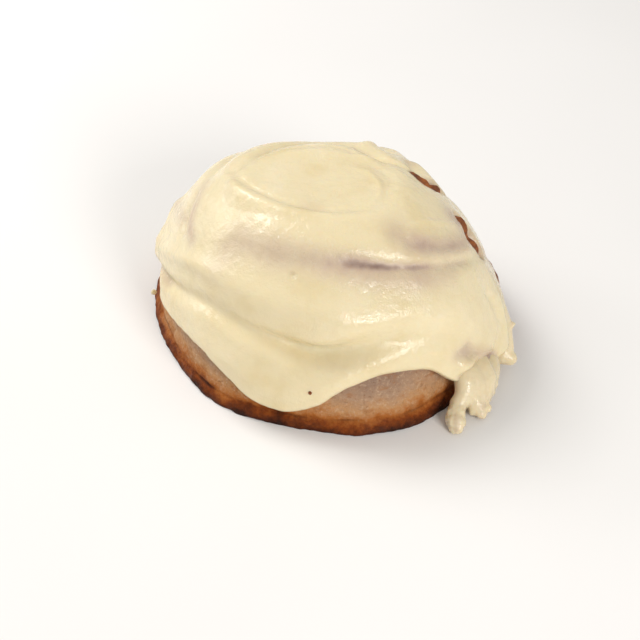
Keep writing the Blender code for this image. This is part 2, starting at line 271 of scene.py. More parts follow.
# Ridges and folds of the icing: picture places, heights along the line, half-widths along the line.
FOLDS = (
    # The seam of the coils across the front, deepest in the middle.
    (((232, 246), (262, 257), (300, 262), (335, 262), (362, 264), (392, 267), (430, 267), (462, 262),
      (490, 256)),
     (-0.5, -0.8, -1.1, -1.3, -1.4, -1.1, -1.0, -0.9), (3.4, 3.4, 3.4, 3.0, 2.8, 2.6, 2.2, 2.0)),
    # The broad roll above the last fold.
    (((166, 247), (190, 260), (215, 272), (245, 287), (290, 306), (340, 318), (395, 320), (450, 314)),
     (1.2, 1.7, 1.7, 1.8, 2.4, 2.9, 2.2, 0.6), (3.0, 3.0, 3.4, 4.6, 5.8, 6.4, 6.6, 6.0)),
    # The last fold, from the left side down to the hollow in the front.
    (((159, 259), (166, 277), (178, 289), (198, 299), (222, 313), (247, 328), (271, 339), (296, 349),
      (320, 354), (345, 351), (368, 344), (400, 335), (436, 327)),
     (-2.0, -2.4, -2.0, -1.9, -2.2, -3.0, -4.2, -5.6, -6.0, -4.6, -3.0, -1.5, -0.3),
     (1.6, 1.8, 2.4, 2.8, 3.0, 3.0, 2.9, 2.9, 3.1, 3.7, 4.3, 4.8, 5.0)),
    # The swollen skirt below it.
    (((205, 335), (235, 358), (262, 378), (295, 385), (325, 380), (356, 366), (395, 355), (440, 350)),
     (0.4, 1.0, 1.5, 1.6, 1.5, 1.3, 1.0, 0.4), (3.6, 4.4, 4.8, 4.8, 4.6, 4.2, 3.8, 3.6)),
    # The left flank bulges.
    (((160, 212), (157, 238), (158, 262)), (0.8, 1.5, 0.8), (7.0, 8.0, 7.0)),
    # The rim of the flat swirl on the top, raised outside and sunk inside.
    (((226, 176), (236, 188), (252, 198), (282, 208), (320, 215), (352, 218), (380, 215), (402, 205)),
     (0.5, 0.8, 0.8, 0.6, 0.4, 0.6, 0.5, 0.2), (2.4, 2.4, 2.6, 2.6, 2.6, 2.4, 2.4, 2.6)),
    (((233, 172), (240, 182), (255, 191), (285, 201), (320, 208), (352, 210), (375, 206), (388, 196)),
     (-0.4, -0.7, -0.65, -0.5, -0.4, -0.4, -0.3, -0.2), (1.5, 1.4, 1.4, 1.5, 1.7, 1.9, 1.9, 1.9)),
    # The spatula's arcs at the right end of the swirl.
    (((352, 164), (368, 170), (378, 182), (379, 194), (368, 203)),
     (0.1, 0.4, 0.6, 0.5, 0.1), (1.2, 1.3, 1.3, 1.3, 1.3)),
    (((350, 158), (374, 165), (388, 177), (392, 190)), (-0.2, -0.5, -0.5, -0.1), (1.3, 1.5, 1.5, 1.5)),
    (((356, 153), (382, 161), (400, 174), (410, 186), (402, 198)),
     (0.3, 0.5, 0.6, 0.6, 0.2), (1.6, 1.8, 2.2, 2.6, 2.8)),
    # The raised ridge along the upper right, and the crease inside it.
    (((346, 147), (366, 146), (384, 149), (402, 158), (418, 168), (434, 184)), (0.4, 1.3, 1.7, 1.6, 1.2, 0.4),
     (2.2, 2.8, 3.2, 2.8, 2.4, 2.0)),
    (((352, 153), (372, 155), (390, 160), (406, 168), (422, 179)),
     (-0.3, -0.9, -1.0, -0.8, -0.4), (1.0, 1.1, 1.1, 1.1, 1.2)),
    # The short ridge at the right, the trough below it and the low ridge below that.
    (((410, 225), (428, 223), (446, 224), (462, 227)), (0.3, 0.7, 0.6, 0.2), (1.3, 1.4, 1.4, 1.3)),
    (((396, 236), (416, 245), (440, 247), (462, 243)), (-0.5, -1.2, -1.1, -0.4), (2.4, 2.8, 2.6, 2.2)),
    (((405, 258), (440, 254), (470, 250)), (0.15, 0.35, 0.3), (2.0, 2.2, 1.8)),
    # The crease beside the strip at the right, and the swell that the strip lies on.
    (((487, 292), (496, 312), (499, 330), (494, 352)), (-0.4, -0.7, -0.7, -0.5), (1.6, 1.8, 1.8, 1.8)),
    (((490, 280), (498, 306), (502, 327), (504, 345)), (0.6, 1.5, 1.5, 1.0), (3.6, 4.4, 4.4, 3.8)),
    # The hollow above the front run, the crease below it, and the knob between the two.
    (((464, 353), (470, 351), (477, 352)), (-0.8, -1.4, -0.8), (2.2, 2.6, 2.2)),
    (((461, 379), (470, 372), (482, 364), (495, 355)), (-0.6, -1.3, -1.5, -1.3), (1.5, 1.7, 1.7, 1.6)),
    (((464, 366), (470, 366)), (1.7, 1.5), (2.6, 2.6)),
    # A pit left by a bubble.
    (((292.6, 275), (293.4, 275)), (-0.6, -0.6), (0.9, 0.9)),
    # Ragged bits at the left edge of the thin place.
    (((186, 196), (178, 206), (171, 222)), (0.5, 0.9, 0.3), (1.0, 1.1, 1.2)),
    (((196, 196), (188, 212), (184, 232)), (-0.5, -0.9, -0.6), (1.6, 1.8, 2.0)),
    (((158, 228), (161, 240), (160, 252)), (0.3, 0.7, 0.3), (1.8, 2.0, 2.0)),
)

# Where the icing runs thinner and the dough shows through, and where the same mauve stands as painted shade
# in some hollows and creases: picture places, amounts, half-widths.
THINNING_AND_SHADE_PLACES = (
    # The broad band across the front, and the dark line in it: dough seen through the seam's icing, made
    # darker with painted shade in the groove.
    (((246, 244), (270, 250), (300, 258), (330, 262), (362, 264)),
     (0.30, 0.40, 0.42, 0.46, 0.5), (5.0, 5.4, 5.0, 4.0, 3.4)),
    (((344, 263), (370, 265), (396, 267), (430, 266), (462, 262), (488, 257)),
     (0.4, 0.85, 0.7, 0.45, 0.35, 0.3), (1.8, 1.6, 1.4, 1.2, 1.1, 1.1)),
    (((330, 270), (370, 276), (410, 279), (450, 273)), (0.25, 0.40, 0.42, 0.35), (3.4, 4.2, 4.4, 4.0)),
    # The hollow at the right, dough through the icing with painted shade in the trough, and the outline
    # beside it.
    (((396, 232), (412, 243), (440, 246), (466, 243)), (0.35, 0.58, 0.58, 0.5), (4.4, 4.4, 3.6, 3.4)),
    (((452, 216), (466, 232), (478, 248), (492, 266)), (0.45, 0.6, 0.5, 0.5), (4.2, 4.6, 4.0, 3.4)),
    # The left shoulder.
    (((205, 184), (196, 202), (190, 225), (193, 240)), (0.22, 0.28, 0.55, 0.3), (3.0, 3.2, 2.6, 2.6)),
    (((180, 203), (183, 218)), (0.3, 0.3), (2.6, 2.8)),
    (((238, 236), (228, 250), (222, 262)), (0.22, 0.26, 0.16), (5.0, 5.6, 5.0)),
    # A faint spot in front of the swirl, the front run's hollow and crease (painted shade under the fold
    # above them), the left side, the ridge's end.
    (((306, 202), (318, 204)), (0.14, 0.14), (2.6, 2.6)),
    (((458, 355), (468, 351), (480, 353), (494, 357)), (0.3, 0.55, 0.45, 0.5), (2.4, 3.0, 2.6, 2.0)),
    (((461, 379), (470, 372), (482, 364), (495, 355)), (0.35, 0.5, 0.5, 0.4), (1.6, 1.8, 1.8, 1.6)),
    (((160, 266), (168, 284)), (0.3, 0.3), (1.8, 1.8)),
    (((410, 163), (426, 170), (438, 184)), (0.3, 0.5, 0.4), (2.6, 2.8, 2.6)),
)

# Where the icing is missing: picture places, half-widths.
BARE_PLACES = (
    (((414, 173), (424, 180), (437, 188)), (1.6, 3.0, 2.6)),
    (((461, 221), (470, 235), (478, 248)), (2.6, 4.4, 3.2)),
    (((493, 262), (499, 272), (504, 284)), (2.2, 3.4, 2.6)),
)


def seam_offset(points):
    """How far points are from the nearest turn of the coils' seam, level, and at which turn."""
    outward = points[:, :2] - LEAN
    azimuth = np.degrees(np.arctan2(outward[:, 1], outward[:, 0]))
    part_turn = ((azimuth - SEAM_START_AZIMUTH) / 360) % 1
    radius = np.hypot(outward[:, 0], outward[:, 1])
    best, at = np.full(len(points), FAR_OFF), np.zeros(len(points))
    for whole in range(math.ceil(SEAM_TURNS)):
        turns = part_turn + whole
        flare = np.clip((turns - SEAM_TURNS + SEAM_FLARE_TURNS) / SEAM_FLARE_TURNS, 0, None)
        apart = radius - SEAM_START_RADIUS - SEAM_PITCH * turns - SEAM_FLARE * flare**2
        apart = np.where(turns <= SEAM_TURNS, apart, FAR_OFF)
        nearer = np.abs(apart) < np.abs(best)
        best, at = np.where(nearer, apart, best), np.where(nearer, turns, at)
    return best, at


def pole_cap(columns, ring_start, pole, upward):
    """The triangles between one ring and a middle vertex."""
    k = np.arange(columns)
    ring, after = ring_start + k, ring_start + (k + 1) % columns
    middle = np.full(columns, pole)
    return np.stack([middle, ring, after] if upward else [middle, after, ring], -1)


# The dough.
DOUGH_COLUMNS = 460
CRUST_ROWS = 116
UNDER_ROWS = 40
# The share of the crust's rows above this fall, so that the rows are closer where the crust shows.
CROWN_ROWS = 0.4
CROWN_FALL = 0.54
# Where the icing covers it, the dough is pressed in, but at the bare places it stands up to the icing.
PRESSED_IN = 4.6
BARE_REACH = 5.4
BARE_DEPTH = -0.9
# The ledge above the browned foot: height, half-width and depth.
LEDGE_HEIGHT = 4.6
LEDGE_HALF_WIDTH = 0.8
LEDGE_DEPTH = 1.1
# The seam: depth and half-width in the side, and depth and half-width in the underside.
SIDE_SEAM_DEPTH = 2.2
SIDE_SEAM_HALF_WIDTH = 1.0
UNDER_SEAM_DEPTH = 0.9
UNDER_SEAM_HALF_WIDTH = 0.75
# How far the tail of the seam shows round the side, in turns.
TAIL_START = 0.25
TAIL_END = 0.12


def build_dough():
    """The rolled dough as one closed skin: wrinkled crust, browned foot, and the coils' seam under it."""
    azimuth = np.arange(DOUGH_COLUMNS) * TAU / DOUGH_COLUMNS
    share = np.linspace(0, 1, CRUST_ROWS + 1)[1:]
    fall = np.interp(share, (0, CROWN_ROWS, 1), (0, CROWN_FALL, 1))
    points = dough_form(azimuth[None, :], fall[:, None]).reshape(-1, 3)
    outward = normals_of(dough_form, azimuth[None, :], fall[:, None]).reshape(-1, 3)
    height = points[:, 2]

    coarse, fine, finest = Noise(11), Noise(12), Noise(13)
    low = smoothstep(30, 12, height)
    move = (0.55 * coarse(points, 13.0) + 0.28 * fine(points, 5.0, (1, 1, 0.7))) * (0.4 + 0.6 * low)
    move += low * 0.20 * finest(points, 2.2, (1, 1, 0.45)) + low * 0.10 * fine(points, 1.1)
    foot = smoothstep(9, 2, height)
    ledge = LEDGE_HEIGHT + 1.3 * coarse(points, 16.0) + 0.4 * fine(points, 4.0)
    ledge_line = np.exp(-(((height - ledge) / LEDGE_HALF_WIDTH) ** 2))
    ledge_line = foot * ledge_line * (0.55 + 0.45 * fine(points, 9.0))
    move -= LEDGE_DEPTH * ledge_line
    move += foot * (0.35 * coarse(points, 5.5, (1, 1, 2.0)) + 0.22 * finest(points, 1.7))
    apart, turns = seam_offset(points)
    groove = np.exp(-((apart / SIDE_SEAM_HALF_WIDTH) ** 2))
    tail = smoothstep(SEAM_TURNS - TAIL_START, SEAM_TURNS - TAIL_END, turns) * smoothstep(32, 18, height)
    move -= groove * SIDE_SEAM_DEPTH * np.maximum(tail, smoothstep(20, 30, height) * 0.6)
    edge = np.broadcast_to(edge_heights(azimuth), (CRUST_ROWS, DOUGH_COLUMNS)).reshape(-1)
    bare, raised = np.zeros(len(points)), np.zeros(len(points))
    for places, _ in BARE_PLACES:
        distance = to_line(points, seen_line(places))[0]
        cover = distance.min()
        near = np.exp(-(distance**2 - cover**2) / BARE_REACH**2)
        bare = np.maximum(bare, near)
        raised = np.maximum(raised, near * (cover - BARE_DEPTH))
    move += raised - PRESSED_IN * (1 - bare) * smoothstep(edge + 1.5, edge + 9.0, height)
    points = points + outward * move[:, None]
    points[:, 2] = np.maximum(points[:, 2], 0.0)
    last = slice(-DOUGH_COLUMNS, None)
    points[last, 2] = 0.0

    rim = points[last, :2]
    shrink = np.linspace(1, 0, UNDER_ROWS + 1)[1:-1]
    under = np.concatenate([np.column_stack([rim * part, np.zeros(DOUGH_COLUMNS)]) for part in shrink])
    apart_under, turns_under = seam_offset(under)
    groove_under = np.exp(-((apart_under / UNDER_SEAM_HALF_WIDTH) ** 2))
    groove_under = groove_under * smoothstep(0, 0.1, turns_under)
    edge_fade = smoothstep(1.0, 0.93, np.repeat(shrink, DOUGH_COLUMNS))
    lift = groove_under * UNDER_SEAM_DEPTH + 0.18 + 0.14 * coarse(under, 6.0) + 0.08 * fine(under, 2.2)
    under[:, 2] = np.clip(lift, 0.0, None) * edge_fade

    top = dough_form(np.array([0.0]), np.array([0.0]))
    middle = np.array([[0.0, 0.0, 0.2]])
    everything = np.vstack([points, under, top, middle])
    rows = CRUST_ROWS + UNDER_ROWS - 1
    caps = np.vstack([
        pole_cap(DOUGH_COLUMNS, 0, len(everything) - 2, True),
        pole_cap(DOUGH_COLUMNS, (rows - 1) * DOUGH_COLUMNS, len(everything) - 1, False),
    ])
    piece = make_piece("dough_crust", everything, grid_faces(rows, DOUGH_COLUMNS), caps)

    filling = np.concatenate([groove * tail * 1.3, groove_under, [0, 0]])
    store(piece, "filling", np.clip(filling, 0, 1))
    rest = np.zeros(len(under) + 2)
    store(piece, "baked", np.concatenate([bare, rest]))
    store(piece, "ledge", np.concatenate([ledge_line, rest]))
    return piece


# The icing.
ICING_COLUMNS = 440
OUTER_ROWS = 184
INNER_ROWS = 20
# How far up from the lower edge the coat rounds off.
LIP_LENGTH = 2.6
# The flat swirl on the top: its middle, its half-lengths and its height.
SWIRL_MIDDLE = np.array([-7.0, -6.0])
SWIRL_REACH = np.array([29.0, 17.5])
SWIRL_LEVEL = 58.6
# How deep the coat's inner skin lies in the dough: at the lower edge, and how much deeper further up.
BURIED = 0.35
BURIED_ABOVE = 3.4
# The coat's usual thickness over the plain dough form, the least at its edge, and how far folds may sink.
FULL_THICKNESS = 2.6
LEAST_THICKNESS = 0.3
SUNK_THICKNESS = 3.2
# How soft the changes to those two thicknesses are.
FULL_SOFTNESS = 1.2
LEAST_SOFTNESS = 0.5
# How far the coat dips under the plain dough form at a bare place.
BARE_DIP = 0.9


def soft_least(value, least, softness):
    """The value, held above the least one without a kink."""
    return least + 0.5 * (value - least + np.hypot(value - least, softness))


def edge_heights(azimuth):
    """The height of the icing's lower edge at each azimuth."""
    table = np.array(ICING_EDGE, float)
    around = np.vstack([table[-3:] - [360, 0], table, table[:3] + [360, 0]])
    degrees = (np.degrees(azimuth) + 180) % 360 - 180
    line = as_line(around, 400)
    order = np.argsort(line[:, 0])
    return np.interp(degrees, line[order, 0], line[order, 1])


def build_icing(dough_tree):
    """The coat of icing: folds, thinner and bare places, painted shade in some hollows, and a rounded lower
    edge.
    """
    azimuth = np.arange(ICING_COLUMNS) * TAU / ICING_COLUMNS
    ragged = Noise(21)
    ring = np.stack([np.cos(azimuth) * 58, np.sin(azimuth) * 58, np.zeros(ICING_COLUMNS)], -1)
    edge = edge_heights(azimuth) + 0.35 * ragged(ring, 6.0) + 0.22 * ragged(ring, 2.4)
    lowest = np.arccos((edge / ICING_HEIGHT) ** (1 / ICING_TOP_POWER)) / (math.pi / 2)

    share = np.linspace(0, 1, OUTER_ROWS + 1)[1:] ** 1.12
    fall = share[:, None] * lowest[None, :]
    base = icing_form(azimuth[None, :], fall)
    outward = normals_of(icing_form, azimuth[None, :], fall).reshape(-1, 3)
    from_edge = np.linalg.norm(base - base[-1:, :, :], axis=-1).reshape(-1)
    points = base.reshape(-1, 3)

    move = np.zeros(len(points))
    ellipse = np.hypot(*((points[:, :2] - SWIRL_MIDDLE) / SWIRL_REACH).T)
    flat = smoothstep(1.02, 0.72, ellipse)
    move += flat * (SWIRL_LEVEL - points[:, 2])
    for places, heights, widths in FOLDS:
        distance, along, _ = to_line(points, seen_line(places))
        move += levels(heights, along) * np.exp(-((distance / levels(widths, along)) ** 2))
    apart, turns = seam_offset(points)
    unseen = smoothstep(0, 14, points[:, 1]) * smoothstep(1.2, 1.5, turns)
    roll = np.cos(apart / SEAM_PITCH * TAU)
    move -= unseen * (1.1 * np.exp(-((apart / 2.4) ** 2)) + 0.25 * roll)

    broad, middling, small = Noise(22), Noise(23), Noise(24)
    move += 0.45 * broad(points, 17.0) + 0.16 * middling(points, 6.0) * (1 - 0.7 * flat)
    move += 0.055 * small(points, 2.3) * (1 - 0.5 * flat) + 0.03 * middling(points, 1.2)

    nearest = [dough_tree.find_nearest(Vector(point * MM)) for point in points]
    foot = np.array([hit[0] for hit in nearest]) / MM
    across = np.array([hit[1] for hit in nearest])
    depth = np.einsum("ij,ij->i", points - foot, across)
    thickness = soft_least(depth, FULL_THICKNESS, FULL_SOFTNESS) + move

    # Mauve amounts: thinner icing, and painted shade in some hollows and creases.
    thin = np.zeros(len(points))
    for places, amounts, widths in THINNING_AND_SHADE_PLACES:
        distance, along, _ = to_line(points, seen_line(places))
        part = levels(amounts, along) * np.exp(-((distance / levels(widths, along)) ** 2))
        thin = 1 - (1 - thin) * (1 - part)
    thin = thin * (1 + 0.30 * middling(points, 5.5) + 0.12 * small(points, 1.6))
    bare = np.zeros(len(points))
    for places, widths in BARE_PLACES:
        distance, along, _ = to_line(points, seen_line(places))
        near = distance + 0.8 * small(points, 3.2) + 0.1 * small(points, 1.3)
        bare = np.maximum(bare, smoothstep(1.4, 0.75, near / levels(widths, along)))
        thin = np.maximum(thin, 0.45 * smoothstep(2.0, 1.0, near / levels(widths, along)))
    least = LEAST_THICKNESS - SUNK_THICKNESS * smoothstep(1.5, 9.0, from_edge)
    full = soft_least(thickness, least, LEAST_SOFTNESS)
    full = full * (1 - bare) - BARE_DIP * bare

    lip = np.clip(1 - from_edge / LIP_LENGTH, 0, 1)
    full = full * np.sqrt(np.clip(1 - lip**2, 0, 1)) - 0.3 * lip**6
    surface = points + outward * (full - depth)[:, None]
    surface[:, 2] = np.maximum(surface[:, 2], 0.3)

    inner_share = np.linspace(1, 0, INNER_ROWS + 1)[:-1]
    inner = []
    for part in inner_share:
        slots = icing_form(azimuth, part * lowest)
        tilt = normals_of(icing_form, azimuth, part * lowest)
        hits = [dough_tree.find_nearest(Vector(point * MM)) for point in slots]
        depth = np.array([np.dot(point - np.array(hit[0]) / MM, hit[1]) for point, hit in zip(slots, hits)])
        buried = BURIED + BURIED_ABOVE * smoothstep(0, 0.1, 1 - part)
        inner.append(slots - tilt * (depth + buried)[:, None])
    inner = np.vstack(inner)
    top = icing_form(np.array([0.0]), np.array([0.0]))
    top[0, 2] = surface[:ICING_COLUMNS, 2].mean()
    below = np.array([[top[0, 0], top[0, 1], DOUGH_HEIGHT - 1.0]])
    everything = np.vstack([surface, inner, top, below])
    rows = OUTER_ROWS + INNER_ROWS
    caps = np.vstack([
        pole_cap(ICING_COLUMNS, 0, len(everything) - 2, True),
        pole_cap(ICING_COLUMNS, (rows - 1) * ICING_COLUMNS, len(everything) - 1, False),
    ])
    piece = make_piece("icing_coat", everything, grid_faces(rows, ICING_COLUMNS), caps)
    rest = np.zeros(len(inner) + 2)
    edge_thin = 0.22 * smoothstep(1.5, 0.2, from_edge)
    store(piece, "thin", np.concatenate([np.clip(np.maximum(thin, edge_thin), 0, 1), rest]))
    return piece


# The run down to the plate, as chains of round stations: picture place, height above the base, radius.
SEEN_CHAINS = (
    ((460, 360, 13.6, 4.0), (463, 370, 11.8, 4.0), (465.5, 382, 10.0, 3.8), (464, 394, 7.4, 3.3),
     (457.5, 406, 5.0, 2.8), (455.6, 420, 3.2, 3.1), (456.3, 429, 1.8, 1.8)),
    ((474, 360, 11.6, 4.2), (479, 370, 9.8, 4.4), (483.5, 380, 8.0, 4.1), (481, 392, 6.0, 3.7),
     (476, 402, 4.4, 3.4)),
    ((468, 372, 11.0, 4.0), (474, 384, 8.4, 4.2), (472, 396, 6.0, 3.6)),
    ((489, 362, 8.6, 3.4), (490, 371, 7.8, 3.4), (486, 380, 7.0, 3.6)),
)
SEEN_LUMPS = (
    (481, 412, 2.8, 2.0), (486.3, 409, 2.8, 1.7), (482, 416.2, 1.6, 1.3),
    (473.5, 409, 3.2, 1.8), (449.8, 421, 2.6, 1.6), (461.5, 423, 2.8, 1.7), (459.4, 431, 1.3, 1.2),
    (453, 431, 1.3, 1.1), (451.5, 412, 3.9, 1.5), (462.4, 404, 5.6, 1.9), (490, 392, 5.4, 1.7),
    (493, 384, 6.6, 1.8),
)
# The strip at the right side, in the same way but with all three lengths.
SIDE_CHAINS = (
    ((40.5, -8.0, 34.0, 3.2), (47.6, -11.0, 26.5, 4.0), (52.0, -15.4, 19.0, 3.9), (53.9, -17.4, 13.0, 4.4),
     (55.4, -20.6, 8.2, 3.6), (55.6, -22.2, 5.6, 3.5)),
    ((44.0, -13.0, 24.0, 4.2), (49.0, -18.5, 15.0, 4.6), (51.0, -21.5, 9.0, 4.2)),
    ((52.6, -21.4, 6.6, 3.0), (55.8, -22.6, 5.6, 2.9), (58.2, -23.6, 5.0, 2.3)),
)
SIDE_LUMPS = ((57.9, -18.2, 14.6, 1.1), (58.6, -17.8, 15.0, 0.75))
STATIONS_PER_CHAIN = 36
RUN_VOXEL = 0.42
SOFTENING = 0.6
SOFTENING_STEPS = 14


def build_runs():
    """The runs of icing, melted into one lumpy body."""
    made = bmesh.new()
    seen = [station for chain in SEEN_CHAINS for station in as_line(chain, STATIONS_PER_CHAIN)]
    balls = [(*on_level((x, y), height), radius) for x, y, height, radius in (*seen, *SEEN_LUMPS)]
    balls += [tuple(station) for chain in SIDE_CHAINS for station in as_line(chain, STATIONS_PER_CHAIN)]
    balls += list(SIDE_LUMPS)
    for x, y, z, radius in balls:
        bmesh.ops.create_icosphere(
            made, subdivisions=3, radius=radius * MM, matrix=Matrix.Translation(Vector((x, y, z)) * MM)
        )
    mesh = bpy.data.meshes.new("icing_runs")
    made.to_mesh(mesh)
    made.free()
    piece = bpy.data.objects.new("icing_runs", mesh)
    bpy.context.scene.collection.objects.link(piece)
    remesh = piece.modifiers.new("melt", "REMESH")
    remesh.mode = "VOXEL"
    remesh.voxel_size = RUN_VOXEL * MM
    soften = piece.modifiers.new("soften", "SMOOTH")
    soften.factor = SOFTENING
    soften.iterations = SOFTENING_STEPS
    bpy.context.view_layer.update()
    melted = bpy.data.meshes.new_from_object(piece.evaluated_get(bpy.context.evaluated_depsgraph_get()))
    piece.modifiers.clear()
    piece.data = melted
    melted.name = "icing_runs"
    points = np.empty(len(melted.vertices) * 3)
    melted.vertices.foreach_get("co", points)
    points = points.reshape(-1, 3) / MM
    normals = np.empty(len(points) * 3)
    melted.vertices.foreach_get("normal", normals)
    normals = normals.reshape(-1, 3)
    curdled = smoothstep(9, 4, points[:, 2]) * smoothstep(-36, -42, points[:, 1])
    lumpy, grainy = Noise(31), Noise(32)
    move = 0.22 * lumpy(points, 3.0) + (0.08 + 0.32 * curdled) * lumpy(points, 1.5)
    move += (0.02 + 0.16 * curdled) * grainy(points, 0.8)
    points = points + normals * move[:, None]
    points[:, 2] = np.maximum(points[:, 2], 0.25)
    melted.vertices.foreach_set("co", (points * MM).ravel())
    melted.shade_smooth()
    store(piece, "thin", 0.12 + 0.25 * curdled * smoothstep(-0.2, 0.6, lumpy(points, 2.0)))
    return piece


# Materials.
def socket(value):
    """Colours get their fourth part."""
    return (*value, 1.0) if isinstance(value, tuple) and len(value) == 3 else value


class Nodes:
    """A short way to write a node tree."""

    def __init__(self, name):
        self.material = bpy.data.materials.new(name)
        self.material.use_nodes = True
        self.tree = self.material.node_tree
        self.shader = self.tree.nodes["Principled BSDF"]

    def add(self, kind, settings=None, **inputs):
        node = self.tree.nodes.new(kind)
        for name, value in (settings or {}).items():
            setattr(node, name, value)
        for name, value in inputs.items():
            self.put(node, name, value)
        return node

    def put(self, node, name, value):
        key = int(name[1:]) if name[0] == "_" and name[1:].isdigit() else name.replace("_", " ")
        target = node.inputs[key]
        if isinstance(value, bpy.types.NodeSocket):
            self.tree.links.new(value, target)
        else:
            target.default_value = socket(value)

    def place(self, stretch=(1, 1, 1)):
        spot = self.add("ShaderNodeTexCoord").outputs["Object"]
        return self.add("ShaderNodeMapping", Vector=spot, Scale=Vector(stretch)).outputs["Vector"]

    def noise(self, scale, detail=3.0, roughness=0.5, stretch=(1, 1, 1), distortion=0.0):
        return self.add(
            "ShaderNodeTexNoise", Vector=self.place(stretch), Scale=scale, Detail=detail,
            Roughness=roughness, Distortion=distortion,
        ).outputs["Fac"]

    def ramp(self, factor, stops, smooth=True):
        node = self.add("ShaderNodeValToRGB", Fac=factor)
        bar = node.color_ramp
        bar.interpolation = "EASE" if smooth else "LINEAR"
        while len(bar.elements) < len(stops):
            bar.elements.new(0.5)
        for element, (where, colour) in zip(bar.elements, stops):
            element.position = where
            element.color = socket(colour if isinstance(colour, tuple) else (colour,) * 3)
        return node.outputs["Color"]

    def math(self, operation, first, second=0.0, clamp=False):
        settings = {"operation": operation, "use_clamp": clamp}
        return self.add("ShaderNodeMath", settings, _0=first, _1=second).outputs[0]

    def mix(self, factor, first, second, kind="MIX"):
        node = self.add("ShaderNodeMix", {"data_type": "RGBA", "blend_type": kind, "clamp_factor": True})
        self.put(node, "_0", factor)
        self.put(node, "_6", first)
        self.put(node, "_7", second)
        return node.outputs[2]

    def attribute(self, name):
        return self.add("ShaderNodeAttribute", {"attribute_name": name}).outputs["Fac"]

    def bump(self, height, strength, distance, below=None):
        node = self.add("ShaderNodeBump", Height=height, Strength=strength, Distance=distance)
        if below is not None:
            self.put(node, "Normal", below)
        return node.outputs["Normal"]

    def set(self, **inputs):
        for name, value in inputs.items():
            self.put(self.shader, name, value)
        return self.material


def linear(red, green, blue):
    """A colour from 0 to 255 as light values."""
    return tuple(((part / 255 + 0.055) / 1.055) ** 2.4 if part > 10 else part / 255 / 12.92
                 for part in (red, green, blue))


CREAM = linear(229, 214, 176)
CREAM_PALE = linear(233, 219, 184)
CREAM_DEEP = linear(224, 207, 165)
MAUVE = linear(192, 169, 150)
MAUVE_DARK = linear(136, 110, 98)

# The crust's colours going up from the base, as shares of the browned height. The top two stops, near and
# under the icing's lower edge, are darker: partly the damp crust there, partly painted shade under the
# icing's lip.
CRUST_HEIGHT = 0.026
CRUST_AND_LIP_SHADE_COLOURS = (
    (0.00, linear(46, 16, 1)),
    (0.05, linear(82, 33, 2)),
    (0.13, linear(128, 60, 8)),
    (0.22, linear(166, 98, 40)),
    (0.33, linear(186, 139, 94)),
    # These two stops are darker partly for the damp crust and partly as painted shade under the icing's lip.
    (0.50, linear(170, 137, 109)),
    (0.75, linear(138, 113, 97)),
)
PALE_DOT = linear(204, 176, 148)
DARK_DOT = linear(128, 84, 54)
TOASTED = linear(158, 104, 60)
SCORCHED = linear(66, 24, 4)
LEDGE_BROWN = linear(48, 18, 4)
BAKED_DARK = linear(92, 42, 20)
BAKED_PALE = linear(166, 92, 34)
SEAM_BROWN = linear(58, 26, 14)
CINNAMON = (linear(44, 18, 9), linear(82, 38, 18), linear(120, 66, 34))


def icing_material():
    """Glossy cream icing, with a mauve cast and less gloss where it runs thinner; the same mauve is also
    painted shade in some hollows and creases.
    """
    nodes = Nodes("icing")
    thin = nodes.attribute("thin")
    mottle = nodes.noise(70.0, 3.0)
    cream = nodes.ramp(mottle, ((0.3, CREAM_DEEP), (0.5, CREAM), (0.75, CREAM_PALE)))
    wobble = nodes.math("MULTIPLY", nodes.math("SUBTRACT", nodes.noise(260.0, 4.0, 0.6), 0.5), 0.35)
    amount = nodes.math("ADD", thin, nodes.math("MULTIPLY", wobble, thin), clamp=True)
    tinted = nodes.mix(nodes.math("MULTIPLY", amount, 1.5, clamp=True), cream, MAUVE)
    # The darkest mauve: the thinnest icing, and the painted shade in the seam's groove and the hollows.
    deep = nodes.ramp(amount, ((0.55, 0.0), (1.0, 1.0)))
    tinted = nodes.mix(deep, tinted, MAUVE_DARK)
    pits = nodes.add("ShaderNodeTexVoronoi", Vector=nodes.place(), Scale=900.0).outputs["Distance"]
    pit_mask = nodes.ramp(pits, ((0.0, 1.0), (0.16, 0.0)))
    grain = nodes.noise(1900.0, 2.0, 0.55)
    film = nodes.noise(380.0, 3.0, 0.5)
    bump = nodes.bump(film, 0.42, 0.0008)
    bump = nodes.bump(grain, 0.46, 0.00024, bump)
    bump = nodes.bump(nodes.math("SUBTRACT", 1.0, pit_mask), 0.12, 0.0002, bump)
    gloss = nodes.ramp(nodes.noise(180.0, 3.0), ((0.3, 0.11), (0.7, 0.24)))
    gloss = nodes.math("ADD", gloss, nodes.math("MULTIPLY", nodes.math("POWER", amount, 1.5), 0.5))
    material = nodes.set(
        Base_Color=tinted, Roughness=gloss, Normal=bump, Specular_IOR_Level=0.5, IOR=1.46,
        Subsurface_Weight=0.35, Subsurface_Scale=0.0032,
    )
    nodes.shader.inputs["Subsurface Radius"].default_value = (1.0, 0.72, 0.42)
    return material


